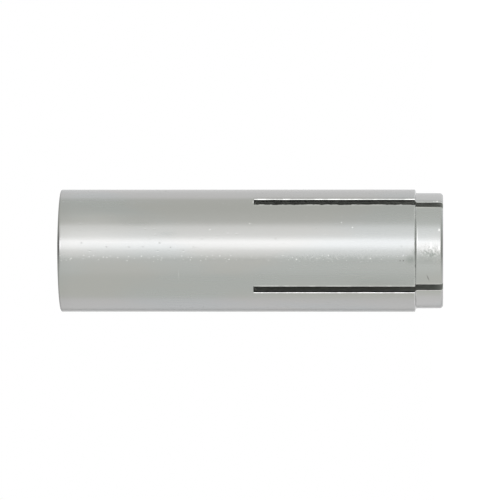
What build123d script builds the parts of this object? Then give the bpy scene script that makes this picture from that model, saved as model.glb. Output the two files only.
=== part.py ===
from build123d import *

import os
from math import radians, tan

# Drop-in anchor for a 3/8-16 bolt: a tapped steel shell with a slotted tip, and the cone plug that spreads it.
# The anchor stands on its tip. The origin is the centre of the tip's face and +Z runs up the axis to the mouth.
# Every length is in millimetres, and every depth is measured down from the mouth.

# Shell, outside
overall_length = 39.69
body_diameter = 12.70
nose_length = 2.78
nose_relief = 0.37
shoulder_slope_length = 0.11
shoulder_corner_round = 0.10
shoulder_root_round = 0.12
mouth_rim_round = 0.15
tip_rim_round = 0.33

# Tapped hole: the wall is bored to the tap drill's size, which is where the thread's crests end
tap_drill_diameter = 7.94
thread_major_diameter = 9.525
thread_depth = 15.875
countersink_clearance = 0.20

# Bore through the tip: the taper runs from the plug bore down to it
tip_bore_diameter = 5.40
tip_bore_length = 3.20
tip_bore_break = 0.20

# Sawn slots: the saw leaves each slot longer at the outside than at the bore
slot_count = 4
slot_width = 0.78
slot_length = 19.52
slot_root_lean = 15.0

# Expander plug
plug_diameter = 7.50
plug_straight_length = 4.50
plug_cone_length = 7.00
plug_back_break = 0.35
plug_front_round = 0.30

# Fit of the plug in the shell, as delivered
plug_clearance = 0.03
plug_free_travel = 2.00
plug_below_thread = 0.60

# Radii
body_radius = body_diameter / 2
nose_radius = body_radius - nose_relief
tap_drill_radius = tap_drill_diameter / 2
countersink_radius = thread_major_diameter / 2 + countersink_clearance
tip_bore_radius = tip_bore_diameter / 2
plug_radius = plug_diameter / 2
plug_bore_radius = plug_radius + plug_clearance

# Heights above the tip's face
shoulder_top = nose_length + shoulder_slope_length
countersink_foot = overall_length - (countersink_radius - tap_drill_radius)
thread_end = overall_length - thread_depth
plug_bore_top = thread_end - abs(tap_drill_radius - plug_bore_radius)
plug_back = plug_bore_top - plug_below_thread
plug_cone_top = plug_back - plug_straight_length
plug_front = plug_cone_top - plug_cone_length
taper_top = plug_cone_top - plug_free_travel
taper_slope = (plug_bore_radius - tip_bore_radius) / (taper_top - tip_bore_length)


def turned(outline):
    """Turn an outline about the Z axis.

    Args:
        outline: corners of the half section in order, each as radius, height and corner round.

    Returns:
        The turned solid.
    """
    corners = [(radius, height) for radius, height, _ in outline]
    rounds = [corner_round for _, _, corner_round in outline]
    with BuildPart() as piece:
        with BuildSketch(Plane.XZ):
            with BuildLine():
                FilletPolyline(*corners, radius=rounds, close=True)
            make_face()
        revolve(axis=Axis.Z)
    return piece.part


def saw_cut(angle):
    """Make the space that the saw clears for one slot.

    Args:
        angle: the slot's place around the axis, in degrees from +X.

    Returns:
        A flat blade that reaches from the axis out past the shell, with its root leaning inwards.
    """
    reach = body_diameter
    below_tip = -slot_width
    root_slope = tan(radians(slot_root_lean))
    outer_root = slot_length + (reach - body_radius) * root_slope
    axis_root = slot_length - body_radius * root_slope
    with BuildPart() as blade:
        with BuildSketch(Plane.XZ):
            with BuildLine():
                Polyline((0, below_tip), (reach, below_tip), (reach, outer_root), (0, axis_root), close=True)
            make_face()
        extrude(amount=slot_width / 2, both=True)
    return blade.part.rotate(Axis.Z, angle)


def anchor_body():
    """Build the shell: turned outside and bore, then one saw cut for each slot."""
    shell = turned(
        [
            (tip_bore_radius, tip_bore_break, 0),
            (tip_bore_radius + tip_bore_break, 0, 0),
            (nose_radius, 0, tip_rim_round),
            (nose_radius, nose_length, shoulder_root_round),
            (body_radius, shoulder_top, shoulder_corner_round),
            (body_radius, overall_length, mouth_rim_round),
            (countersink_radius, overall_length, 0),
            (tap_drill_radius, countersink_foot, 0),
            (tap_drill_radius, thread_end, 0),
            (plug_bore_radius, plug_bore_top, 0),
            (plug_bore_radius, taper_top, 0),
            (tip_bore_radius, tip_bore_length, 0),
        ]
    )
    for index in range(slot_count):
        shell -= saw_cut(360 / slot_count * index)
    return shell


def expander_plug():
    """Build the plug: a straight back, and a cone at the taper's own angle."""
    front_radius = plug_radius - plug_cone_length * taper_slope
    return turned(
        [
            (0, plug_front, 0),
            (front_radius, plug_front, plug_front_round),
            (plug_radius, plug_cone_top, 0),
            (plug_radius, plug_back - plug_back_break, 0),
            (plug_radius - plug_back_break, plug_back, 0),
            (0, plug_back, 0),
        ]
    )


os.makedirs("parts", exist_ok=True)
export_step(anchor_body(), "parts/anchor_body.step")
export_step(expander_plug(), "parts/expander_plug.step")
print(f"plug travels {plug_free_travel:.2f} mm from {plug_back:.3f} mm before its cone takes up in the taper")
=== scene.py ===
import logging
from collections.abc import Callable, Mapping, Sequence
from dataclasses import astuple, dataclass
from enum import Enum, IntEnum
from functools import cached_property, reduce
from math import ceil, cos, pi, radians, sin, tan

import bpy
import numpy as np
from mathutils import Matrix, Vector


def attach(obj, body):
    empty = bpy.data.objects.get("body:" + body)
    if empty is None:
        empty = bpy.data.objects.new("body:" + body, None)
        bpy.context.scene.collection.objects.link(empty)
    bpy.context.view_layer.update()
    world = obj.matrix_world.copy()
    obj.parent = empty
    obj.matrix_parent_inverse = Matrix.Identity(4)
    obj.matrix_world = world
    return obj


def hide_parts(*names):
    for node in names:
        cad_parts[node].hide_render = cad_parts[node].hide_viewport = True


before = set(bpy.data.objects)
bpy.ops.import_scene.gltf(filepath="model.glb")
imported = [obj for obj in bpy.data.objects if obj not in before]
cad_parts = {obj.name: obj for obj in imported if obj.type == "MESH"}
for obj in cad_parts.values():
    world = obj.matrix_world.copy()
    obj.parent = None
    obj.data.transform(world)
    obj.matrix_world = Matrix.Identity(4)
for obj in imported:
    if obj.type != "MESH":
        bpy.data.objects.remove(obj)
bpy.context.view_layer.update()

# Drop-in anchor for a 3/8-16 bolt, standing on its slotted tip with the tapped mouth up, as in the packed
# model. Sizes are in millimetres and are turned into Blender's metres where a mesh, lamp or camera is made.

MM = 0.001

log = logging.getLogger("drop_in_anchor")

# Red, green and blue; a low value and a high one; whole-array values
Colour = tuple[float, float, float]
Span = tuple[float, float]
Array = np.ndarray


class Body(Enum):
    """The CAD bodies that new pieces ride on."""

    SHELL = "shell"


class MaterialSlot(Enum):
    """The record's material slots that new pieces take."""

    PLATED_SHELL = "plated_shell"


class Zone(Enum):
    """Point attributes of the shell's mesh that tell its surfaces apart, and place its wear with painted
    highlight and its painted shade.
    """

    SAWN = "sawn"
    BORED = "bored"
    WEAR_AND_HIGHLIGHT = "wear_and_highlight"
    RIM_SHADE = "rim_shade"


class Ray(Enum):
    """Light Path outputs for the rays that see the white surroundings."""

    CAMERA = "Is Camera Ray"
    GLOSSY = "Is Glossy Ray"
    TRANSMISSION = "Is Transmission Ray"


# Shader expressions


def joined(operation: str, swapped: bool = False) -> Callable[..., "Signal"]:
    """Make a method that puts a signal, and maybe another value, into a Math node.

    Args:
        operation: the Math node's operation.
        swapped: whether the other value comes first.

    Returns:
        The method.
    """

    def join(signal: "Signal", other: "Value" = 0.0) -> "Signal":
        """Add the Math node."""
        first, second = (other, signal) if swapped else (signal, other)
        return signal.tree.math(operation, first, second)

    return join


class Signal:
    """One output socket of a node, which arithmetic extends with Math nodes."""

    __add__ = joined("ADD")
    __radd__ = joined("ADD", swapped=True)
    __sub__ = joined("SUBTRACT")
    __rsub__ = joined("SUBTRACT", swapped=True)
    __mul__ = joined("MULTIPLY")
    __rmul__ = joined("MULTIPLY", swapped=True)
    __truediv__ = joined("DIVIDE")
    larger = joined("MAXIMUM")
    smaller = joined("MINIMUM")
    root = joined("SQRT")
    exp = joined("EXPONENT")
    magnitude = joined("ABSOLUTE")

    def __init__(self, tree: "ShaderTree", socket: bpy.types.NodeSocket) -> None:
        """Wrap a socket of the tree."""
        self.tree = tree
        self.socket = socket

    def output(self, name: str) -> "Signal":
        """Give another output of the same node."""
        return Signal(self.tree, self.socket.node.outputs[name])

    def rise(self, low: float, high: float) -> "Signal":
        """Go smoothly from 0 at the low value to 1 at the high one."""
        inputs = {"Value": self, "From Min": low, "From Max": high}
        return self.tree.node("ShaderNodeMapRange", {"interpolation_type": "SMOOTHSTEP"}, inputs)


Value = Signal | float | Sequence[float]


class ShaderTree:
    """The node tree of a material or the world, built by expressions."""

    def __init__(self, owner: bpy.types.Material | bpy.types.World) -> None:
        """Start an empty tree.

        Args:
            owner: the material or the world that the tree belongs to.
        """
        owner.use_nodes = True
        self.nodes = owner.node_tree.nodes
        self.links = owner.node_tree.links
        self.nodes.clear()

    def node(
        self,
        kind: str,
        settings: Mapping[str, object] | None = None,
        inputs: Mapping[str | int, Value] | None = None,
        out: str | int = 0,
    ) -> Signal:
        """Add a node: its settings first, then the values or links of its sockets.

        Args:
            kind: the node's type.
            settings: properties of the node, such as a Math node's operation.
            inputs: a value or a signal for each socket that isn't left at its default.
            out: the output to hand back.

        Returns:
            The chosen output, wrapped.
        """
        made = self.nodes.new(kind)
        for name, value in (settings or {}).items():
            setattr(made, name, value)
        for name, value in (inputs or {}).items():
            if isinstance(value, Signal):
                self.links.new(value.socket, made.inputs[name])
            else:
                made.inputs[name].default_value = value
        return Signal(self, made.outputs[out]) if made.outputs else Signal(self, made.inputs[0])

    def math(self, operation: str, first: Value, second: Value) -> Signal:
        """Add a Math node."""
        return self.node("ShaderNodeMath", {"operation": operation}, {0: first, 1: second})

    def mix(self, share: Value, first: Value, second: Value) -> Signal:
        """Mix two colours, signals or red, green and blue: the second shows by the share."""
        first, second = [c if isinstance(c, Signal) else (*c, 1) for c in (first, second)]
        return self.node("ShaderNodeMix", {"data_type": "RGBA"}, {0: share, 6: first, 7: second}, out=2)

    def vector(self, operation: str, first: Value, second: Value) -> Signal:
        """Add a Vector Math node with a vector result."""
        return self.node("ShaderNodeVectorMath", {"operation": operation}, {0: first, 1: second})

    def attribute(self, zone: Zone) -> Signal:
        """Read one of the mesh's point attributes."""
        return self.node("ShaderNodeAttribute", {"attribute_name": zone.value}, out="Fac")

    def cells(self, point: Signal, scale: float, dimensions: str = "3D") -> tuple[Signal, Signal]:
        """Read a Voronoi pattern.

        Args:
            point: where it is read.
            scale: cells for each millimetre.
            dimensions: 2D for a flat pattern and 3D for a solid one.

        Returns:
            The distance to the nearest cell's centre, and that cell's random colour, taken apart.
        """
        settings = {"voronoi_dimensions": dimensions}
        inputs = {"Vector": point, "Scale": scale}
        distance = self.node("ShaderNodeTexVoronoi", settings, inputs, out="Distance")
        return distance, self.node("ShaderNodeSeparateColor", inputs={0: distance.output("Color")})

    def surface(self, inputs: Mapping[str, Value]) -> None:
        """End a material with a Principled shader."""
        shader = self.node("ShaderNodeBsdfPrincipled", inputs=inputs)
        self.node("ShaderNodeOutputMaterial", inputs={"Surface": shader})


@dataclass(frozen=True)
class Pattern:
    """A noise pattern: turns for each millimetre, detail, roughness, and how far Z draws it out."""

    scale: float
    detail: float
    roughness: float = 0.5
    stretch: float = 1.0

    def read(self, point: Signal) -> Signal:
        """Read the pattern.

        Args:
            point: where it is read.

        Returns:
            Its value, from 0 to 1.
        """
        drawn = point.tree.vector("MULTIPLY", point, (1.0, 1.0, 1 / self.stretch))
        inputs = {"Vector": drawn, "Scale": self.scale, "Detail": self.detail, "Roughness": self.roughness}
        return point.tree.node("ShaderNodeTexNoise", inputs=inputs)


@dataclass(frozen=True)
class Place:
    """A point of a surface in millimetres, as signals, and how deep marks fade in at the sides."""

    point: Signal
    across: Signal
    along: Signal
    height: Signal
    facing_fade: float = 2.0

    @classmethod
    def on_piece(cls, tree: ShaderTree) -> "Place":
        """Read Object coordinates and turn them into millimetres.

        Args:
            tree: the material's tree.

        Returns:
            The point, and its X, Y and Z.
        """
        metres = tree.node("ShaderNodeTexCoord", out="Object")
        scale = (1 / MM, 1 / MM, 1 / MM)
        point = tree.node("ShaderNodeMapping", inputs={"Vector": metres, "Scale": scale})
        parts = tree.node("ShaderNodeSeparateXYZ", inputs={0: point})
        return cls(point, parts, parts.output("Y"), parts.output("Z"))

    @property
    def tree(self) -> ShaderTree:
        """The material's tree."""
        return self.point.tree

    @property
    def radius(self) -> Signal:
        """Distance from the anchor's axis."""
        return (self.across * self.across + self.along * self.along).root()

    def beside(self, degrees: float) -> Signal:
        """Distance to one side of the plane that holds the axis and the given angle round it."""
        return self.along * cos(radians(degrees)) - self.across * sin(radians(degrees))

    def facing(self, degrees: float) -> Signal:
        """Give 1 on the side that faces the given angle round the axis, and 0 on the other half."""
        toward = self.across * cos(radians(degrees)) + self.along * sin(radians(degrees))
        return toward.rise(0.0, self.facing_fade)


@dataclass(frozen=True)
class Mark:
    """A mark on the outside, placed by its height and its angle round the axis."""

    height: float
    angle: float
    half_length: float
    half_width: float
    strength: float = 1.0
    lean: float = 0.0

    def mask(self, place: Place) -> Signal:
        """Fade from 1 at the mark's centre: the exponential of minus its squared distance in half sizes.

        Args:
            place: the point on the piece.

        Returns:
            The mark's strength there, 0 on the far side of the piece.
        """
        sideways = place.beside(self.angle)
        upwards = place.height - self.height
        lean = radians(self.lean)
        long_way = (upwards * cos(lean) + sideways * sin(lean)) / self.half_length
        short_way = (sideways * cos(lean) - upwards * sin(lean)) / self.half_width
        fall = 0.0 - (long_way * long_way + short_way * short_way)
        return fall.exp() * place.facing(self.angle) * self.strength


@dataclass(frozen=True)
class GlintSpeckLine:
    """Painted glints: pin-prick bright specks, coloured in a band up the outside."""

    angle: float = -58.8
    half_width: float = 0.40
    cell: float = 0.50
    share: float = 0.9
    radius: float = 0.045
    strength: float = 0.4
    least_size: float = 0.6
    size_spread: float = 0.8
    speck_edge: Span = (0.5, 1.3)
    full_band: float = 0.5
    choice_edge: float = 0.01

    def mask(self, place: Place) -> Signal:
        """Put a round speck at the centre of some cells of a flat Voronoi pattern, and only in the band.

        Args:
            place: the point on the piece.

        Returns:
            The line's strength in a speck and 0 off it.
        """
        sideways = place.beside(self.angle)
        flat = place.tree.node("ShaderNodeCombineXYZ", inputs={0: sideways, 1: place.height, 2: 0.0})
        distance, chance = place.tree.cells(flat, 1 / self.cell, "2D")
        size = (self.least_size + chance.output("Green") * self.size_spread) * (self.radius / self.cell)
        speck = 1 - (distance / size).rise(*self.speck_edge)
        reach = self.half_width**2
        band = 1 - (sideways * sideways).rise(self.full_band * reach, reach)
        chosen = 1 - chance.rise(self.share, self.share + self.choice_edge)
        return speck * band * chosen * place.facing(self.angle) * self.strength


def strongest(marks: Sequence[Mark | GlintSpeckLine], place: Place) -> Signal:
    """Lay several marks over each other, the strongest on top."""
    return reduce(Signal.larger, [mark.mask(place) for mark in marks])


# Finishes


@dataclass(frozen=True)
class SurfaceMarks:
    """Marks on the photographed side, each by height, angle, half length, half width, strength and lean."""

    # Dark smudges, and painted shade: soft dark patches at the highlight's lower edge, on the nose and
    # across the sides
    smudges_and_shade: tuple[Mark, ...] = (
        Mark(3.3, -59.5, 0.55, 0.40, 0.5), Mark(2.2, -58.0, 0.6, 0.30, 0.3),
        Mark(2.95, -53.5, 0.25, 0.45, 0.3), Mark(1.2, -56.4, 1.5, 0.38, 0.36),
        Mark(1.6, -60.6, 1.7, 0.42, 0.26), Mark(31.4, -25.5, 1.6, 0.30, 0.10),
        Mark(28.4, -35.8, 0.9, 0.25, 0.12), Mark(6.5, -82.5, 3.5, 0.5, 0.10),
        Mark(20.0, -59.8, 20.0, 0.17, 0.07), Mark(8.5, -60.3, 7.0, 0.36, 0.12),
    )
    # Dark scratches and dots, and painted shade: dark reflection lines at the mouth's rim, the tip's rim
    # and the shoulder
    scratches_and_shade: tuple[Mark, ...] = (
        Mark(4.41, -60.8, 0.05, 0.05, 0.8), Mark(4.08, -60.8, 0.06, 0.05, 0.8),
        Mark(2.86, -66.0, 0.06, 0.22, 0.6), Mark(2.84, -47.5, 0.09, 1.7, 0.3),
        Mark(1.55, -79.5, 0.28, 0.045, 0.6, lean=70), Mark(39.57, -46.3, 0.13, 1.9, 0.95),
        Mark(0.13, -45.8, 0.09, 2.2, 0.6),
    )
    # Rubbed spots and painted glints: bright dots at burrs, rims and nicks, and a few soft lighter patches
    rubs_and_highlights: tuple[Mark, ...] = (
        Mark(19.57, 0.9, 0.06, 0.22), Mark(0.62, 6.5, 0.12, 0.12),
        Mark(1.25, -47.0, 0.09, 0.30, 0.35), Mark(0.95, 6.3, 0.07, 0.08),
        Mark(0.40, -30.5, 0.10, 0.12, 0.8), Mark(0.40, -49.0, 0.07, 0.20, 0.8),
        Mark(39.42, -46.5, 0.06, 0.6, 0.5), Mark(2.64, -38.8, 0.05, 1.0, 0.45),
        Mark(23.97, -31.5, 0.06, 0.06, 0.35), Mark(19.89, -25.3, 0.06, 0.06, 0.45),
        Mark(10.44, -24.3, 0.06, 0.06, 0.5), Mark(9.31, -29.4, 0.06, 0.06, 0.5),
        Mark(38.26, -58.7, 0.09, 0.05, 0.5), Mark(34.57, -57.7, 0.06, 0.06, 0.4),
        Mark(15.06, -59.6, 0.07, 0.06), Mark(12.95, -58.7, 0.10, 0.05, 0.4),
        Mark(11.78, -55.9, 0.06, 0.06, 0.6), Mark(7.46, -58.7, 0.09, 0.07, 0.75),
        Mark(27.2, -74.9, 0.05, 0.5, 0.12), Mark(36.2, -20.0, 3.0, 0.9, 0.08),
        Mark(36.0, -36.2, 3.5, 0.6, 0.06),
    )
    # Ruffled patches of fine relief, whose crests and hollows are painted light and dark
    ruffled: tuple[Mark, ...] = (
        Mark(1.2, -54.6, 1.1, 0.60, 0.75), Mark(10.0, -58.5, 7.0, 0.35, 0.2),
    )
    # Painted glints: bright specks along the lower edge of the highlight band
    glint_specks: tuple[GlintSpeckLine, ...] = (GlintSpeckLine(),)


@dataclass(frozen=True)
class PlatedFinish:
    """Bright zinc plate over drawn bar: satin, streaked lengthwise, nicked, and darker on the inside."""

    marks: SurfaceMarks = SurfaceMarks()
    colour: Colour = (0.478, 0.481, 0.482)
    cool_tint: Colour = (0.469, 0.484, 0.488)
    warm_tint: Colour = (0.486, 0.481, 0.472)
    tint_share: float = 0.6
    tint_edge: Span = (0.42, 0.62)
    body_radius: float = 6.35
    nose_length: float = 2.78
    nose_gain: float = 1.06
    nose_fade: float = 0.1

    # Worn places with painted highlight, painted shade at rims, smudges, scratches and the slots' outer
    # edges, and inside places
    wear_and_highlight_colour: Colour = (0.97, 0.97, 0.97)
    least_wear_and_highlight: float = 0.45
    break_edge: Span = (0.40, 0.62)
    rim_shade_colour: Colour = (0.20, 0.20, 0.195)
    rim_shade_share: float = 0.8
    smudge_and_shade_colour: Colour = (0.20, 0.23, 0.21)
    scratch_and_shade_colour: Colour = (0.03, 0.03, 0.03)
    bored_colour: Colour = (0.44, 0.45, 0.43)
    sawn_colour: Colour = (0.66, 0.67, 0.65)
    tip_wall_colour: Colour = (0.45, 0.46, 0.44)
    shade_band_colour: Colour = (0.01, 0.01, 0.01)
    shade_band_depth: Span = (0.20, 0.27)

    # Ruffled patches: painted highlight on the crests and painted shade in the hollows
    crest_edge: Span = (0.36, 0.42)
    crest_highlight: float = 0.6
    hollow_edge: Span = (0.53, 0.60)
    hollow_shade: float = 0.9

    # Patterns
    streaks: Pattern = Pattern(3.0, 3.0, 0.6, 60.0)
    patches: Pattern = Pattern(0.22, 2.0, stretch=3.0)
    waves: Pattern = Pattern(0.8, 1.0, stretch=9.0)
    grain: Pattern = Pattern(9.0, 2.0)
    ruffle: Pattern = Pattern(4.5, 1.0)
    breaks: Pattern = Pattern(1.1, 2.0)

    # Gloss, and what each pattern and place takes off it
    grazing_tint: Colour = (0.90, 0.90, 0.90)
    roughness: float = 0.26
    pattern_roughness: float = 0.06
    bored_roughness: float = 0.10
    sawn_roughness: float = 0.14
    smudge_and_shade_roughness: float = 0.12

    # Relief: its height in millimetres, and each pattern's share of it
    relief: float = 0.004
    streak_relief: float = 0.08
    wave_relief: float = 0.6
    grain_relief: float = 0.25
    nick_relief: float = 5.0
    ruffle_relief: float = 5.0

    # Nicks
    nick_scale: float = 3.3
    nick_stretch: float = 1.4
    least_nick: float = 0.18
    nick_spread: float = 0.18
    nick_choice: Span = (0.90, 0.91)

    def make(self) -> bpy.types.Material:
        """Build the material.

        Returns:
            The plated material.
        """
        material = bpy.data.materials.new("satin_zinc_plate")
        tree = ShaderTree(material)
        place = Place.on_piece(tree)
        streaks = self.streaks.read(place.point) - 0.5
        patches = self.patches.read(place.point)
        waves = self.waves.read(place.point) - 0.5
        grain = self.grain.read(place.point) - 0.5
        ruffle = self.ruffle.read(place.point)
        mottled = strongest(self.marks.ruffled, place)
        smudge_and_shade = strongest(self.marks.smudges_and_shade, place)
        smudge_and_shade = smudge_and_shade.larger(mottled * ruffle.rise(*self.hollow_edge) * self.hollow_shade)
        sawn = tree.attribute(Zone.SAWN)
        bored = tree.attribute(Zone.BORED)

        # The plate is cloudy between a warm and a cool tint, and a little brighter on the nose
        plated = tree.mix(patches.rise(*self.tint_edge), self.warm_tint, self.cool_tint)
        plated = tree.mix(self.tint_share, self.colour, plated)
        on_nose = 1 - place.height.rise(self.nose_length, self.nose_length + self.nose_fade)
        gain = on_nose * (self.nose_gain - 1) + 1
        gain = tree.node("ShaderNodeCombineXYZ", inputs={0: gain, 1: gain, 2: gain})
        plated = tree.vector("MULTIPLY", plated, gain)
        # Painted shade: a dark line round the mouth's rim and beside some slot edges
        plated = tree.mix(tree.attribute(Zone.RIM_SHADE) * self.rim_shade_share, plated, self.rim_shade_colour)

        # Rubbed places with painted highlights: the mesh's wear-and-highlight zone, broken up by a pattern,
        # and the marks of rubs and painted glints
        broken = self.breaks.read(place.point).rise(*self.break_edge)
        wear_and_highlight = tree.attribute(Zone.WEAR_AND_HIGHLIGHT) * (self.least_wear_and_highlight + broken * (1 - self.least_wear_and_highlight))
        wear_and_highlight = wear_and_highlight.larger(strongest(self.marks.rubs_and_highlights + self.marks.glint_specks, place))
        wear_and_highlight = wear_and_highlight.larger(mottled * (1 - ruffle.rise(*self.crest_edge)) * self.crest_highlight)
        plated = tree.mix(wear_and_highlight, plated, self.wear_and_highlight_colour)
        # Smudges and patches of painted shade
        plated = tree.mix(smudge_and_shade, plated, self.smudge_and_shade_colour)
        # Scratches and painted dark reflection lines
        plated = tree.mix(strongest(self.marks.scratches_and_shade, place), plated, self.scratch_and_shade_colour)
        inside = tree.mix(bored, plated, self.bored_colour)
        colour = tree.mix(sawn, inside, self.sawn_wall(place))

        roughness = self.roughness + (streaks + (patches - 0.5)) * self.pattern_roughness
        roughness = roughness + bored * self.bored_roughness + sawn * self.sawn_roughness
        roughness = roughness + smudge_and_shade * self.smudge_and_shade_roughness
        relief = streaks * self.streak_relief + waves * self.wave_relief + grain * self.grain_relief
        relief = relief - self.nicks(place) * self.nick_relief
        relief = relief + (ruffle - 0.5) * mottled * self.ruffle_relief
        bump = {"Distance": self.relief * MM, "Height": relief}
        inputs = {
            "Base Color": colour,
            "Metallic": 1.0,
            "Roughness": roughness,
            "Specular Tint": (*self.grazing_tint, 1),
            "Normal": tree.node("ShaderNodeBump", inputs=bump),
        }
        tree.surface(inputs)
        return material

    def sawn_wall(self, place: Place) -> Signal:
        """Colour the slots' walls: bright, duller towards the tip, and painted black shade just under the
        outside.

        Args:
            place: the point on the piece.

        Returns:
            The walls' colour.
        """
        up_nose = place.height.rise(0.0, self.nose_length)
        walls = place.tree.mix(up_nose, self.tip_wall_colour, self.sawn_colour)
        # Painted shade: black just under the outside
        shade_band = 1 - (self.body_radius - place.radius).rise(*self.shade_band_depth)
        return place.tree.mix(shade_band, walls, self.shade_band_colour)

    def nicks(self, place: Place) -> Signal:
        """Scatter small dents: one near the middle of some Voronoi cells.

        Args:
            place: the point on the piece.

        Returns:
            1 in the middle of a dent and 0 off it.
        """
        drawn = place.tree.vector("MULTIPLY", place.point, (1.0, 1.0, 1 / self.nick_stretch))
        distance, chance = place.tree.cells(drawn, self.nick_scale)
        size = self.least_nick + chance.output("Green") * self.nick_spread
        dent = 1 - (distance / size).smaller(1.0)
        return dent * chance.rise(*self.nick_choice)


@dataclass(frozen=True)
class TurnedSteelFinish:
    """The plug's turned steel: duller than the shell, with fine rings from the lathe."""

    colour: Colour = (0.33, 0.33, 0.32)
    stain_colour: Colour = (0.25, 0.24, 0.22)
    stains: Pattern = Pattern(0.5, 3.0)
    stain_edge: Span = (0.5, 0.7)
    roughness: float = 0.36
    stain_roughness: float = 0.2
    rings: Pattern = Pattern(5.0, 2.0)
    relief: float = 0.004

    def make(self) -> bpy.types.Material:
        """Build the material.

        Returns:
            The plug's material.
        """
        material = bpy.data.materials.new("turned_plug_steel")
        tree = ShaderTree(material)
        place = Place.on_piece(tree)
        rings_at = tree.node("ShaderNodeCombineXYZ", inputs={0: place.radius, 1: 0.0, 2: place.height})
        stains = self.stains.read(place.point)
        colour = tree.mix(stains.rise(*self.stain_edge), self.colour, self.stain_colour)
        roughness = self.roughness + (stains - 0.5) * self.stain_roughness
        bump = {"Distance": self.relief * MM, "Height": self.rings.read(rings_at)}
        normal = tree.node("ShaderNodeBump", inputs=bump)
        inputs = {"Base Color": colour, "Metallic": 1.0, "Roughness": roughness, "Normal": normal}
        tree.surface(inputs)
        return material


# Turned shapes


@dataclass(frozen=True)
class Corner:
    """A corner of a turned section, and the widest row spacing on the run that leaves it."""

    radius: float
    height: float
    rounding: float
    spacing: float


@dataclass(frozen=True)
class Rows:
    """The rows of a turned surface: place along the section, radius, height and outward direction."""

    station: Array
    radius: Array
    height: Array
    out_radial: Array
    out_axial: Array


@dataclass(frozen=True)
class Section:
    """A closed half section, walked with the metal on its right."""

    corners: Sequence[Corner]
    arc_steps: int = 6
    support: float = 0.04
    least_run: float = 3.0
    decimals: int = 4
    least_gap: float = 1e-3

    @cached_property
    def walk(self) -> tuple[Array, Array]:
        """Round every corner.

        A point is the complex number radius + i height. An arc starts at the corner less rounding times the
        tangent of half the turn, and swings about a centre one rounding to the side that the walk turns to.

        Returns:
            Points and outward directions, one row of them for each corner.
        """
        corner = np.array([complex(c.radius, c.height) for c in self.corners])
        rounding = np.array([c.rounding for c in self.corners])
        leaving = np.roll(corner, -1) - corner
        leaving = leaving / abs(leaving)
        arriving = np.roll(leaving, 1)
        turn = np.angle(leaving / arriving)
        start = corner - arriving * rounding * np.tan(abs(turn) / 2)
        centre = start + np.sign(turn) * rounding * 1j * arriving
        swing = np.exp(1j * turn[:, None] * np.linspace(0, 1, self.arc_steps + 1))
        return centre[:, None] + (start - centre)[:, None] * swing, 1j * arriving[:, None] * swing

    @cached_property
    def reach(self) -> Array:
        """Length walked at every point of every corner, with the whole length as a last value."""
        points = self.walk[0].ravel()
        return np.concatenate([[0.0], np.cumsum(abs(np.diff(points, append=points[0])))])

    def station(self, corner: int) -> float:
        """Length walked where a corner's arc starts."""
        return float(self.reach[corner * (self.arc_steps + 1)])

    def rows(self, extra: Array) -> Rows:
        """Lay rows along the section: the arcs' points, even runs between them, and extras.

        A run that is longer than three supports also has a row one support in from each end.

        Args:
            extra: more stations, as lengths walked.

        Returns:
            The rows in walking order.
        """
        steps = self.arc_steps + 1
        begins = self.reach[steps - 1 : -1 : steps]
        ends = np.append(self.reach[steps:-1:steps], self.reach[-1])
        counts = [max(1, ceil((b - a) / c.spacing)) for a, b, c in zip(begins, ends, self.corners)]
        runs = [np.linspace(a, b, n + 1) for a, b, n in zip(begins, ends, counts)]
        long_run = ends - begins > self.least_run * self.support
        supports = [begins[long_run] + self.support, ends[long_run] - self.support]
        station = np.unique(np.round(np.concatenate([self.reach, *runs, *supports, extra]), self.decimals))
        station = station[station < self.reach[-1] - self.least_gap]
        points = np.append(self.walk[0].ravel(), self.walk[0][0, 0])
        outward = np.append(self.walk[1].ravel(), self.walk[1][0, 0])
        laid = np.interp(station, self.reach, points)
        facing = np.interp(station, self.reach, outward)
        facing = facing / abs(facing)
        return Rows(station, laid.real, laid.imag, facing.real, facing.imag)


def mesh_piece(
    name: str, points: Array, quads: Array, plates: Sequence[Array], zones: Mapping[Zone, Array]
) -> bpy.types.Object:
    """Put a surface into a mesh object.

    Args:
        name: the piece's name.
        points: vertices in millimetres, one row each.
        quads: the smooth faces' vertex numbers, four each.
        plates: flat faces, each an array of vertex numbers.
        zones: point attributes, one value for each vertex.

    Returns:
        The object, at the origin.
    """
    sizes = np.concatenate([np.full(len(quads), 4), [len(plate) for plate in plates]]).astype(np.int32)
    used, loops = np.unique(np.concatenate([quads.ravel(), *plates]), return_inverse=True)
    mesh = bpy.data.meshes.new(name)
    mesh.vertices.add(len(used))
    mesh.vertices.foreach_set("co", (points[used] * MM).astype(np.float32).ravel())
    mesh.loops.add(len(loops))
    mesh.loops.foreach_set("vertex_index", loops.ravel().astype(np.int32))
    mesh.polygons.add(len(sizes))
    mesh.polygons.foreach_set("loop_start", np.concatenate([[0], np.cumsum(sizes)[:-1]]).astype(np.int32))
    mesh.polygons.foreach_set("use_smooth", np.arange(len(sizes)) < len(quads))
    for zone, values in zones.items():
        attribute = mesh.attributes.new(zone.value, "FLOAT", "POINT")
        attribute.data.foreach_set("value", values[used].astype(np.float32))
    mesh.update(calc_edges=True)
    mesh.validate()
    piece = bpy.data.objects.new(name, mesh)
    bpy.context.scene.collection.objects.link(piece)
    return piece


def bell(distance: Array, reach: float | Array, power: int = 2) -> Array:
    """Fall from 1: the exponential of minus the distance over the reach, raised to the power."""
    return np.exp(-((distance / reach) ** power))


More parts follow.
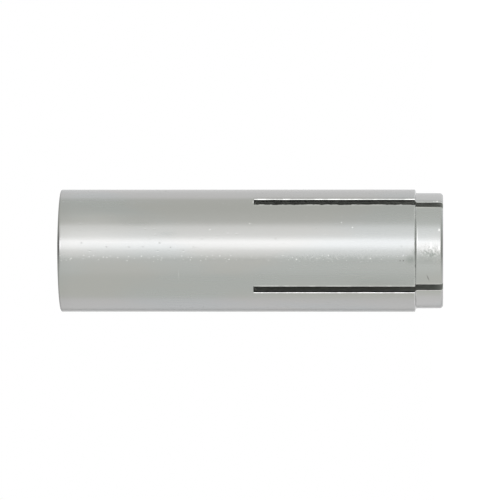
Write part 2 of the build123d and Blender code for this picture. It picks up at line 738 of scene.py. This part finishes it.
@dataclass(frozen=True)
class TappedThread:
    """The right-hand 3/8-16 thread cut in the shell's bore."""

    crest_radius: float = 3.97
    root_radius: float = 4.7625
    pitch: float = 1.5875
    half_angle: float = 30.0
    root_flat: float = 1.5875 / 8
    end_height: float = 23.815
    lead_pitches: float = 2.0

    def cut_to(self, height: Array, angle: Array) -> Array:
        """Find how far out the tap has cut.

        The groove climbs one pitch for each turn. At a distance d along the axis from its middle, the wall
        lies at the root radius less (d - half the root's flat) over the tangent of the half angle. Near the
        hole's end the tap's lead limits the cut: a cone from the crest radius to the root radius.

        Args:
            height: height of each point.
            angle: angle of each point round the axis, in radians.

        Returns:
            The radius that the tap reaches at each point.
        """
        off_middle = (height - self.pitch * angle / (2 * pi)) / self.pitch
        off_middle = abs(off_middle - np.round(off_middle)) * self.pitch
        flank = np.maximum(off_middle - self.root_flat / 2, 0) / tan(radians(self.half_angle))
        lead_slope = (self.root_radius - self.crest_radius) / (self.lead_pitches * self.pitch)
        lead = self.crest_radius + (height - self.end_height) * lead_slope
        return np.minimum(self.root_radius - flank, lead)


@dataclass(frozen=True)
class SawnEdge:
    """One edge of a slot: its round, its rubbed brightness with painted highlight and its reach, its ragged
    painted shade and its band of painted shade beside it.
    """

    rounding: float
    rub_and_highlight: float
    reach: float
    shade_chips: float
    edge_shade: float


@dataclass(frozen=True)
class SawCut:
    """One slot as the saw left it: degrees off its even place, its clockwise edge, and the other one."""

    drift: float
    clockwise: SawnEdge
    other: SawnEdge


class ShellCorner(IntEnum):
    """Numbers of the section's corners that other places are taken from."""

    SHOULDER_TOP = 1
    SHOULDER_FOOT = 2
    BORE_START = 5
    INNER_ROOT = 8
    BORE_END = 12
    MOUTH_RIM = 13


@dataclass(frozen=True)
class LegGrid:
    """Rows of the section by columns of one slot's share of the turn, as angles from its middle plane."""

    rows: Rows
    angle: Array
    past_root: Array
    root_row: int
    middle: int


@dataclass(frozen=True)
class AnchorShell:
    """The shell: turned outside, tapped and tapered inside, and sawn into four legs at the tip."""

    overall_length: float = 39.69
    body_radius: float = 6.35
    nose_length: float = 2.78
    nose_radius: float = 5.98
    shoulder_top: float = 2.89
    shoulder_corner_round: float = 0.10
    shoulder_root_round: float = 0.12
    mouth_rim_round: float = 0.15
    tip_rim_round: float = 0.33
    countersink_radius: float = 4.9625
    tip_bore_radius: float = 2.70
    tip_bore_length: float = 3.20
    tip_bore_break: float = 0.20
    plug_bore_radius: float = 3.78
    plug_bore_top: float = 23.625
    taper_top: float = 16.525
    inner_break: float = 0.05
    thread: TappedThread = TappedThread()

    # Saw cuts, and what is left of their edges' rounds, and of their wear and painted highlight, on the
    # nose
    slot_width: float = 0.78
    slot_length: float = 19.52
    slot_root_lean: float = 15.0
    saw_cuts: tuple[SawCut, ...] = (
        SawCut(1.38, SawnEdge(0.05, 1.0, 0.18, 0.15, 0.0), SawnEdge(0.10, 1.0, 0.15, 0.0, 0.7)),
        SawCut(0.0, SawnEdge(0.06, 0.6, 0.12, 0.05, 0.1), SawnEdge(0.09, 0.8, 0.13, 0.0, 0.2)),
        SawCut(0.0, SawnEdge(0.09, 0.8, 0.13, 0.0, 0.2), SawnEdge(0.06, 0.6, 0.12, 0.05, 0.1)),
        SawCut(-0.72, SawnEdge(0.09, 1.0, 0.09, 0.0, 0.1), SawnEdge(0.05, 0.9, 0.13, 0.02, 0.0)),
    )
    nose_edge_share: float = 0.3
    nose_rub_and_highlight_share: float = 0.35
    least_outward: float = 0.5
    wall_clearance: float = 0.001
    shade_chip_swing: float = 0.35

    # Burr along the slots' edges, as a sum of waves
    burr_height: float = 0.02
    burr_least: float = 0.55
    burr_place: float = 0.085
    burr_reach: float = 0.065
    burr_waves: tuple[float, ...] = (6.3, 2.4, 0.95, 0.42)
    burr_weights: tuple[float, ...] = (0.45, 0.6, 0.6, 0.45)
    burr_middle: float = 0.45
    burr_swing: float = 0.5
    burr_seed: int = 11

    # Painted highlight beside the shoulder, painted shade at the mouth's rim, and wear with painted
    # highlight and painted shade beside the slots
    shoulder_highlight_strength: float = 0.9
    shoulder_highlight_shift: float = 0.03
    shoulder_highlight_reach: float = 0.14
    rim_shade_share: float = 0.7
    edge_shade_gap: float = 0.08
    edge_shade_reach: float = 0.07

    # Widest row spacing after each corner, rows close above the shoulder, and columns
    spacing: tuple[float, ...] = (0.2, 0.1, 0.15, 0.4, 0.1, 0.5, 0.8, 0.8, 0.8, 0.1, 0.078, 0.078, 0.3, 1.5)
    above_shoulder: tuple[float, ...] = (0.08, 0.12, 0.17, 0.25)
    widest_edge_round: float = 0.11
    edge_columns: int = 7
    rubbed_columns: tuple[float, ...] = (0.125, 0.15, 0.18, 0.22, 0.27, 0.33, 0.40)
    fill_columns: int = 10

    @property
    def inner_root(self) -> float:
        """Height of a slot's root at the plug bore."""
        wall = self.body_radius - self.plug_bore_radius
        return self.slot_length - wall * tan(radians(self.slot_root_lean))

    def section(self) -> Section:
        """Walk the half section from a slot's outer root down round the tip, up the bore and back.

        Returns:
            The section, with rows close together at the slots and in the thread.
        """
        crest = self.thread.crest_radius
        foot = self.overall_length - (self.countersink_radius - crest)
        small = self.inner_break
        outline = [
            (self.body_radius, self.slot_length, 0),
            (self.body_radius, self.shoulder_top, self.shoulder_corner_round),
            (self.nose_radius, self.nose_length, self.shoulder_root_round),
            (self.nose_radius, 0, self.tip_rim_round),
            (self.tip_bore_radius + self.tip_bore_break, 0, small),
            (self.tip_bore_radius, self.tip_bore_break, small),
            (self.tip_bore_radius, self.tip_bore_length, small),
            (self.plug_bore_radius, self.taper_top, small),
            (self.plug_bore_radius, self.inner_root, 0),
            (self.plug_bore_radius, self.plug_bore_top, small),
            (crest, self.thread.end_height, small),
            (crest, foot, small),
            (self.countersink_radius, self.overall_length, small),
            (self.body_radius, self.overall_length, self.mouth_rim_round),
        ]
        return Section([Corner(*place, spacing) for place, spacing in zip(outline, self.spacing)])

    def lay_grid(self, section: Section) -> LegGrid:
        """Lay the rows of the section and the columns of one slot's share of the turn.

        Beside a slot the columns keep their distance from its middle plane, so that its walls are flat: the
        angle is the arcsine of that distance over the radius. Between slots they are even in angle. The
        length walked past a slot's roots is 0 along the slot.

        Args:
            section: the half section.

        Returns:
            The grid.
        """
        half = self.slot_width / 2
        quarter_arc = np.radians(np.linspace(90, 0, self.edge_columns))
        off_edge = np.concatenate([self.widest_edge_round * (1 - np.sin(quarter_arc)), self.rubbed_columns])
        inner_station = section.station(ShellCorner.INNER_ROOT)
        total = section.reach[-1]
        above = section.station(ShellCorner.SHOULDER_TOP) - np.array(self.above_shoulder)
        rows = section.rows(np.concatenate([inner_station + off_edge, total - off_edge[1:], above]))
        root_row = int(np.argmin(abs(rows.station - inner_station)))
        past_root = np.minimum(rows.station - inner_station, total - rows.station)
        past_root = np.where(np.arange(len(rows.station)) <= root_row, 0, past_root)

        lateral = np.concatenate([-(half + off_edge[::-1]), [0.0], half + off_edge])
        beside_slot = np.arcsin(lateral / rows.radius[:, None])
        sector = pi / len(self.saw_cuts)
        first = beside_slot[:, :1]
        last = beside_slot[:, -1:]
        before = -sector + (first + sector) * np.linspace(0, 1, self.fill_columns, endpoint=False)
        after = last + (sector - last) * np.linspace(0, 1, self.fill_columns + 1)[1:-1]
        angle = np.concatenate([before, beside_slot, after], axis=1)
        return LegGrid(rows, angle, past_root, root_row, self.fill_columns + len(off_edge))

    def burr(self, height: Array) -> Array:
        """Find the burr's height along each slot edge.

        Each edge has its own sum of sine waves along the axis, from long to short, about a steady lip.

        Args:
            height: height of each row.

        Returns:
            The burr's height from 0 to 1, one row for each of the slots' edges.
        """
        count = (2 * len(self.saw_cuts), len(self.burr_waves))
        phases = np.random.default_rng(self.burr_seed).uniform(0, 2 * pi, count)
        swing = np.sin(2 * pi * height[None, :, None] / np.array(self.burr_waves) + phases[:, None, :])
        total = (swing * np.array(self.burr_weights)).sum(axis=2)
        return np.clip(self.burr_middle + self.burr_swing * total, 0, 1)

    def build(self) -> bpy.types.Object:
        """Build the shell's mesh.

        A vertex is a row of the section at a column round the axis. Its distance from the slot's outline
        gives the broken edge: the surface sinks by the edge's round less the root of its square less the
        square of what is left of the round. The burr raises it in a bell curve beside the edge. Below the
        shoulder the edges are sharper, less worn and less painted bright. Ragged painted shade carries the
        walls' dark past the edge, least where the burr is high, and a band of painted shade lies just past
        the rubbed band.

        Returns:
            The piece.
        """
        section = self.section()
        grid = self.lay_grid(section)
        rows = grid.rows
        radius = rows.radius[:, None]
        height = rows.height[:, None]
        sideways = radius * np.sin(grid.angle)
        clear = np.hypot(np.maximum(abs(sideways) - self.slot_width / 2, 0), grid.past_root[:, None])
        outside = ((rows.out_radial > self.least_outward) & (rows.height < self.slot_length))[:, None]
        ridge = bell(clear - self.burr_place, self.burr_reach) * outside
        on_body = np.interp(rows.height, [self.nose_length, self.shoulder_top], [0, 1])[:, None]
        edge_share = self.nose_edge_share + (1 - self.nose_edge_share) * on_body
        rub_and_highlight_share = self.nose_rub_and_highlight_share + (1 - self.nose_rub_and_highlight_share) * on_body
        burr = self.burr(rows.height)[..., None]

        # The bore, the shoulder's painted highlight and the painted shade of the mouth's rim are the same
        # all round
        start = section.station(ShellCorner.BORE_START)
        bore = (rows.station > start) & (rows.station < section.station(ShellCorner.BORE_END))
        slope = section.station(ShellCorner.SHOULDER_TOP) + section.station(ShellCorner.SHOULDER_FOOT)
        off_slope = rows.station - (slope / 2 + self.shoulder_highlight_shift)
        shoulder_highlight = bell(off_slope, self.shoulder_highlight_reach) * self.shoulder_highlight_strength
        # Painted shade in a band on the mouth's rim
        rim_shade_reach = self.rim_shade_share * self.mouth_rim_round
        rim_shade = bell(rows.station - (section.station(ShellCorner.MOUTH_RIM) + rim_shade_reach), rim_shade_reach)

        shape = (len(rows.station), len(self.saw_cuts), grid.angle.shape[1])
        points = np.empty((*shape, 3))
        zones = {zone: np.zeros(shape) for zone in Zone}
        for index, cut in enumerate(self.saw_cuts):
            turn = 2 * pi / len(self.saw_cuts) * index + radians(cut.drift)
            clockwise = grid.angle < 0
            pairs = zip(astuple(cut.clockwise), astuple(cut.other))
            edge, rub_and_highlight, reach, shade_chips, edge_shade = [np.where(clockwise, a, b) for a, b in pairs]
            edge = edge * edge_share
            sunk = edge - np.sqrt(edge**2 - np.clip(edge - clear, 0, edge) ** 2)
            raised = np.where(clockwise, burr[2 * index], burr[2 * index + 1])
            burr_share = self.burr_least + (1 - self.burr_least) * raised
            lift = self.burr_height * burr_share * ridge * edge_share - sunk
            wall = np.maximum(radius, self.thread.cut_to(height, grid.angle + turn))
            forward = wall * np.cos(grid.angle) + lift * rows.out_radial[:, None]
            side = wall * np.sin(grid.angle)
            points[:, index, :, 0] = forward * cos(turn) - side * sin(turn)
            points[:, index, :, 1] = forward * sin(turn) + side * cos(turn)
            points[:, index, :, 2] = height + lift * rows.out_axial[:, None]

            # Ragged painted shade past the edge
            shade_chipped = shade_chips * (1 - self.shade_chip_swing * raised) * outside
            # Rubbed band along the edge, worn and painted bright as a highlight line
            rubs_and_highlights = rub_and_highlight * rub_and_highlight_share * bell(clear, reach, power=4) * outside
            # Painted shade in a band just past the rubbed band
            beside = bell(clear - reach - self.edge_shade_gap, self.edge_shade_reach) * outside
            zones[Zone.SAWN][:, index] = clear <= self.wall_clearance + shade_chipped
            zones[Zone.BORED][:, index] = bore[:, None]
            zones[Zone.WEAR_AND_HIGHLIGHT][:, index] = np.maximum(shoulder_highlight[:, None], rubs_and_highlights)
            zones[Zone.RIM_SHADE][:, index] = np.maximum(rim_shade[:, None], edge_shade * beside)

        points[..., :2] = np.clip(points[..., :2], -self.body_radius, self.body_radius)
        quads, plates = self.faces(shape, grid.root_row, grid.middle)
        values = {zone: array.ravel() for zone, array in zones.items()}
        return mesh_piece("plated_shell_body", points.reshape(-1, 3), quads, plates, values)

    def faces(self, shape: tuple[int, int, int], root_row: int, middle: int) -> tuple[Array, list[Array]]:
        """Join the vertices: quads over the surface with the slots open, then the slots' walls and roots.

        Args:
            shape: rows, slots, and columns for each slot.
            root_row: the row of the slots' inner roots; row 0 has the outer ones.
            middle: the column of a slot's middle plane.

        Returns:
            The smooth quads, and the flat faces.
        """
        rows, slots, share = shape
        columns = slots * share
        row, column = np.meshgrid(np.arange(rows), np.arange(columns), indexing="ij")
        next_row = (row + 1) % rows
        next_column = (column + 1) % columns
        corners = [(row, column), (next_row, column), (next_row, next_column), (row, next_column)]
        quads = np.stack([r * columns + c for r, c in corners], axis=-1)
        in_slot = (column % share >= middle - 1) & (column % share <= middle) & (row < root_row)
        plates = []
        down = np.arange(root_row + 1) * columns
        for slot in range(slots):
            left = slot * share + middle - 1
            right = left + 2
            plates.append(down + left)
            plates.append((down + right)[::-1])
            for start in (left, left + 1):
                base = root_row * columns + start
                plates.append(np.array([base, base + 1, start + 1, start]))
        return quads[~in_slot], plates

    def dress(self, piece: bpy.types.Object, material: bpy.types.Material) -> None:
        """Give the piece its finish and tie it to the frame.

        Args:
            piece: the shell's piece.
            material: its finish.
        """
        piece.data.materials.append(material)
        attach(piece, Body.SHELL.value)
        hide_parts("anchor_body")


@dataclass(frozen=True)
class ExpanderPlug:
    """The cone plug inside the shell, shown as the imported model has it."""

    node: str = "expander_plug"

    def dress(self, finish: TurnedSteelFinish) -> bpy.types.Object:
        """Give the CAD node its finish.

        Args:
            finish: the plug's finish.

        Returns:
            The node's object.
        """
        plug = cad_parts[self.node]
        plug.data.materials.clear()
        plug.data.materials.append(finish.make())
        return plug


# Studio


def stand(name: str, data: bpy.types.ID, spot: Vector, axes: Sequence[Vector]) -> bpy.types.Object:
    """Put a camera or lamp into the scene.

    Args:
        name: the object's name.
        data: the camera or lamp.
        spot: its place, in millimetres.
        axes: the directions of its own X, Y and Z.

    Returns:
        The object.
    """
    holder = bpy.data.objects.new(name, data)
    holder.matrix_world = Matrix.Translation(spot * MM) @ Matrix(axes).transposed().to_4x4()
    bpy.context.scene.collection.objects.link(holder)
    return holder


@dataclass(frozen=True)
class PhotoView:
    """The photograph's view: level with the tip, square to the axis, rolled so the tip is on the right."""

    slot_above_view: float = 51.5
    distance: float = 555.0
    height: float = 1.0
    lens: float = 384.6
    clip: Span = (10.0, 20000.0)
    aim_height: float = 20.052
    aim_up_image: float = 0.073

    @property
    def toward(self) -> Vector:
        """Level direction from the axis to the camera."""
        turn = radians(-self.slot_above_view)
        return Vector((cos(turn), sin(turn), 0))

    @property
    def image_up(self) -> Vector:
        """Level direction that is up in the photograph."""
        return Vector((0, 0, 1)).cross(self.toward)

    def direction(self, degrees_up: float) -> Vector:
        """Level direction at an angle from the camera's towards the top of the photograph."""
        turn = radians(degrees_up)
        return self.toward * cos(turn) + self.image_up * sin(turn)

    def make(self) -> None:
        """Build the camera."""
        camera = bpy.data.cameras.new("photo_view")
        camera.lens = self.lens
        camera.clip_start = self.clip[0] * MM
        camera.clip_end = self.clip[1] * MM
        spot = self.toward * self.distance + Vector((0, 0, self.height))
        aim = self.image_up * self.aim_up_image + Vector((0, 0, self.aim_height))
        forward = (aim - spot).normalized()
        to_tip = Vector((0, 0, -1))
        right = (to_tip - forward * forward.dot(to_tip)).normalized()
        axes = (right, right.cross(forward), -forward)
        bpy.context.scene.camera = stand("photo_view", camera, spot, axes)


@dataclass(frozen=True)
class SoftBox:
    """An upright soft light that faces the anchor."""

    name: str
    degrees_up: float
    half_spread: float
    radiance: float
    colour: Colour = (0.962, 0.952, 1.0)
    distance: float = 700.0
    length: float = 700.0
    middle_height: float = 40.0

    def make(self, view: PhotoView) -> None:
        """Build the lamp.

        Its width spans the given angle at the anchor, and its power is radiance times pi times its area.

        Args:
            view: the photograph's view, which the angle is taken from.
        """
        width = 2 * self.distance * tan(radians(self.half_spread)) * MM
        length = self.length * MM
        lamp = bpy.data.lights.new(self.name, "AREA")
        lamp.shape = "RECTANGLE"
        lamp.size = width
        lamp.size_y = length
        lamp.color = self.colour
        lamp.energy = self.radiance * pi * width * length
        outward = view.direction(self.degrees_up)
        upright = Vector((0, 0, 1))
        spot = outward * self.distance + upright * self.middle_height
        stand(self.name, lamp, spot, (upright.cross(outward), upright, outward)).visible_camera = False


@dataclass(frozen=True)
class Studio:
    """White surroundings, a white floor and the soft lights."""

    room_light: float = 0.8
    room_gloss: float = 0.823
    room_gloss_slope: float = 0.033
    room_tint: Colour = (0.980, 1.0, 0.938)
    backdrop_lean: float = 0.13
    backdrop_slope: float = 0.05
    backdrop_edge: Span = (0.28, 0.38)
    end_shade: float = 0.55
    end_shade_edge: Span = (0.82, 0.94)
    end_card_place: float = 6.0
    end_card_edge: Span = (0.75, 0.95)
    low_strip_place: float = -0.50
    low_strip_shade: float = 0.50
    low_strip_edge: Span = (0.03, 0.10)
    low_strip_fade: Span = (0.5, 0.8)
    least_level: float = 0.0001
    floor_colour: Colour = (0.88, 0.88, 0.88)
    floor_glow: float = 0.33
    floor_radius: float = 3000.0
    floor_gap: float = 0.01
    soft_boxes: tuple[SoftBox, ...] = (
        SoftBox("key_strip", 13.8, 7.8, 0.887),
        SoftBox("key_wide", 19.2, 30.8, 0.518),
        SoftBox("low_fill", -29.0, 14.0, 0.085),
        SoftBox("high_fill", 64.0, 10.0, 0.035),
    )

    def seen(self, tree: ShaderTree) -> Signal:
        """Give 1 for camera, glossy and transmission rays, which see the surroundings white."""
        path = tree.node("ShaderNodeLightPath", out=Ray.CAMERA.value)
        return (path + path.output(Ray.GLOSSY.value) + path.output(Ray.TRANSMISSION.value)).smaller(1.0)

    def make_world(self, view: PhotoView) -> None:
        """Build the world: plain light, seen white.

        Gloss sees a white backdrop behind the anchor, and the room on the camera's side a little darker and
        tinted, most of all beyond its ends. A dark strip low in the backdrop draws the anchor's lower edge.

        Args:
            view: the photograph's view, which has the backdrop opposite.
        """
        world = bpy.data.worlds.new("white_surroundings")
        bpy.context.scene.world = world
        tree = ShaderTree(world)
        ray = tree.node("ShaderNodeTexCoord", out="Generated")
        gloss = tree.node("ShaderNodeLightPath", out=Ray.GLOSSY.value)
        away = self.along(ray, -view.toward)
        upward = self.along(ray, view.image_up)
        backdrop = (away - upward * self.backdrop_lean).rise(*self.backdrop_edge)
        room = self.room_gloss - upward * self.room_gloss_slope
        lengthwise = self.along(ray, Vector((0, 0, 1))).magnitude()
        level_part = (1 - lengthwise * lengthwise).larger(self.least_level).root()
        in_front = self.along(ray, view.direction(self.end_card_place)) / level_part
        steep = lengthwise.rise(*self.end_shade_edge) * in_front.rise(*self.end_card_edge)
        shade = (1 - backdrop) * (1 - room) - backdrop * upward * self.backdrop_slope
        low_strip = 1 - (upward - self.low_strip_place).magnitude().rise(*self.low_strip_edge)
        low_strip = low_strip * away.rise(*self.low_strip_fade) * self.low_strip_shade
        shade = (shade.larger(steep * (1 - self.end_shade)) + low_strip) * gloss
        level = self.room_light + (1 - self.room_light) * self.seen(tree) - shade
        colour = tree.mix((1 - backdrop) * gloss, (1, 1, 1), self.room_tint)
        background = tree.node("ShaderNodeBackground", inputs={"Color": colour, "Strength": level})
        tree.node("ShaderNodeOutputWorld", inputs={"Surface": background})

    def along(self, ray: Signal, direction: Vector) -> Signal:
        """Give the cosine between a ray and a direction."""
        inputs = {0: ray, 1: tuple(direction)}
        return ray.tree.node("ShaderNodeVectorMath", {"operation": "DOT_PRODUCT"}, inputs, out="Value")

    def make_floor(self) -> None:
        """Build the floor: a white sheet that takes the anchor's shadow, and that gloss doesn't see."""
        material = bpy.data.materials.new("white_floor")
        tree = ShaderTree(material)
        matt = tree.node("ShaderNodeBsdfDiffuse", inputs={"Color": (*self.floor_colour, 1)})
        glow = tree.node("ShaderNodeEmission", inputs={"Strength": self.seen(tree) * self.floor_glow})
        both = tree.node("ShaderNodeAddShader", inputs={0: matt, 1: glow})
        tree.node("ShaderNodeOutputMaterial", inputs={"Surface": both})
        corners = np.array([(-1, -1), (1, -1), (1, 1), (-1, 1)]) * self.floor_radius
        points = np.column_stack([corners, np.full(4, -self.floor_gap)])
        floor = mesh_piece("floor", points, np.array([[0, 1, 2, 3]]), [], {})
        floor.data.materials.append(material)
        floor.visible_glossy = False
        floor.visible_shadow = False

    def make(self, view: PhotoView) -> None:
        """Build the world, the floor and the lights.

        Args:
            view: the photograph's view.
        """
        self.make_world(view)
        self.make_floor()
        for box in self.soft_boxes:
            box.make(view)


def main() -> None:
    """Build the camera, the pieces and the studio."""
    logging.basicConfig(level=logging.INFO, format="%(message)s")
    scene = bpy.context.scene
    scene.view_settings.view_transform = "Standard"
    view = PhotoView()
    view.make()
    log.info("camera: %s mm lens at %s mm", view.lens, view.distance)

    shell = AnchorShell()
    body = shell.build()
    shell.dress(body, PlatedFinish().make())
    log.info("%s: %d faces", body.name, len(body.data.polygons))
    plug = ExpanderPlug().dress(TurnedSteelFinish())
    log.info("%s: CAD node with its own finish", plug.name)

    Studio().make(view)
    log.info("studio: floor and soft lights")


if __name__ == "__main__":
    main()
